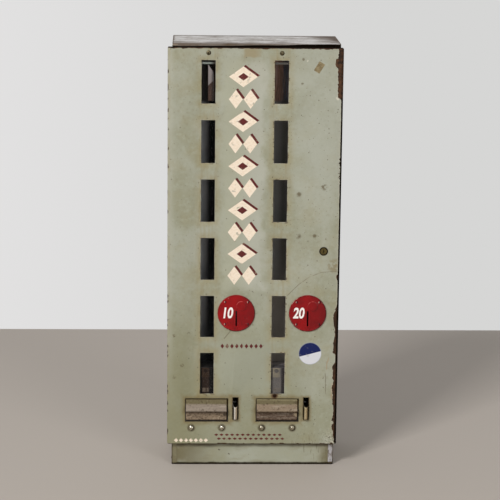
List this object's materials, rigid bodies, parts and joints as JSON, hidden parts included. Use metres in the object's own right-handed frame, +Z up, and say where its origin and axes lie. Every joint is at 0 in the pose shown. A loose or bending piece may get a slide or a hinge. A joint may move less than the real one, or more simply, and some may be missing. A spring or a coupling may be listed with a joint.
{
  "type": "packet vending machine",
  "caption": "Tall flat steel coin-operated packet vending machine: hinged door with two window columns, red coin discs, pull-out vend drawers and coin return scoops.",
  "frame": {"origin": "middle of the bounding box on the floor under the base", "axes": "+Z up, the door faces -Y, +X to the right when looking at the door"},
  "size_m": [0.396, 0.214, 0.99],
  "materials": {
    "sage_paint": "worn satin enamel",
    "top_paint": "weathered paint",
    "red_enamel": "gloss enamel",
    "inner_steel": "dull mill finish",
    "drawer_zinc": "worn dull plating",
    "plating": "aged bright plating",
    "lock_steel": "dark steel",
    "lock_brass": "tarnished",
    "weight_iron": "rusty casting",
    "clear_strip": "clear"
  },
  "bodies": {
    "cabinet": {"left_side": "sage_paint", "right_side": "sage_paint", "back_panel": "sage_paint", "top_panel": "top_paint", "floor_tray": "sage_paint", "cabinet_rivets": "sage_paint", "cash_box": "inner_steel", "hinge_leaves_cabinet": "inner_steel", "hinge_screws": "plating", "hinge_pins": "plating", "lock_strike": "inner_steel"},
    "door": {"front_door": "sage_paint", "hinge_leaves_door": "inner_steel", "hinge_rivets": "plating", "magazine_left": "inner_steel", "magazine_right": "inner_steel", "magazine_frame_left": "inner_steel", "magazine_frame_right": "inner_steel", "window_strip_left": "clear_strip", "window_strip_right": "clear_strip", "magazine_screws": "plating", "magazine_nuts": "inner_steel", "coin_disc_left": "red_enamel", "coin_disc_right": "red_enamel", "disc_rivets": "plating", "coin_chute_left": "inner_steel", "coin_chute_right": "inner_steel", "coin_scoop_left": "plating", "coin_scoop_right": "plating", "drawer_guide_left": "inner_steel", "drawer_guide_right": "inner_steel", "guide_bolts": "plating", "guide_nuts": "inner_steel", "lever_pins": "plating", "lock_case": "lock_steel"},
    "lock": {"lock_plug": "lock_brass", "lock_cam": "inner_steel", "cam_screw": "plating"},
    "left_drawer": {"drawer_tray_left": "inner_steel", "drawer_front_left": "drawer_zinc", "drawer_rivets_left": "plating"},
    "right_drawer": {"drawer_tray_right": "inner_steel", "drawer_front_right": "drawer_zinc", "drawer_rivets_right": "plating"},
    "left_follower": {"follower_left": "weight_iron", "follower_keeper_left": "inner_steel"},
    "right_follower": {"follower_right": "weight_iron", "follower_keeper_right": "inner_steel"},
    "left_lever": {"coin_lever_left": "inner_steel"},
    "right_lever": {"coin_lever_right": "inner_steel"}
  },
  "joints": [
    {"name": "door_swing", "type": "hinge", "parent": "cabinet", "child": "door", "pos_m": [-0.1921, -0.079, 0.5], "axis": [0, 0, -1], "range_deg": [0, 110]},
    {"name": "lock_turn", "type": "hinge", "parent": "door", "child": "lock", "pos_m": [0.1607, -0.085, 0.516], "axis": [0, -1, 0], "range_deg": [0, 90]},
    {"name": "left_drawer_slide", "type": "slide", "parent": "door", "child": "left_drawer", "axis": [0, -1, 0], "range_m": [-0.008, 0.07]},
    {"name": "right_drawer_slide", "type": "slide", "parent": "door", "child": "right_drawer", "axis": [0, -1, 0], "range_m": [-0.008, 0.07]},
    {"name": "left_follower_lift", "type": "slide", "parent": "door", "child": "left_follower", "axis": [0, 0, 1], "range_m": [0, 0.7]},
    {"name": "right_follower_lift", "type": "slide", "parent": "door", "child": "right_follower", "axis": [0, 0, 1], "range_m": [0, 0.7]},
    {"name": "left_lever_swing", "type": "hinge", "parent": "door", "child": "left_lever", "pos_m": [-0.05145, -0.0717, 0.1491], "axis": [0, 1, 0], "range_deg": [0, 5]},
    {"name": "right_lever_swing", "type": "hinge", "parent": "door", "child": "right_lever", "pos_m": [0.11355, -0.0717, 0.1491], "axis": [0, 1, 0], "range_deg": [0, 5]}
  ]
}
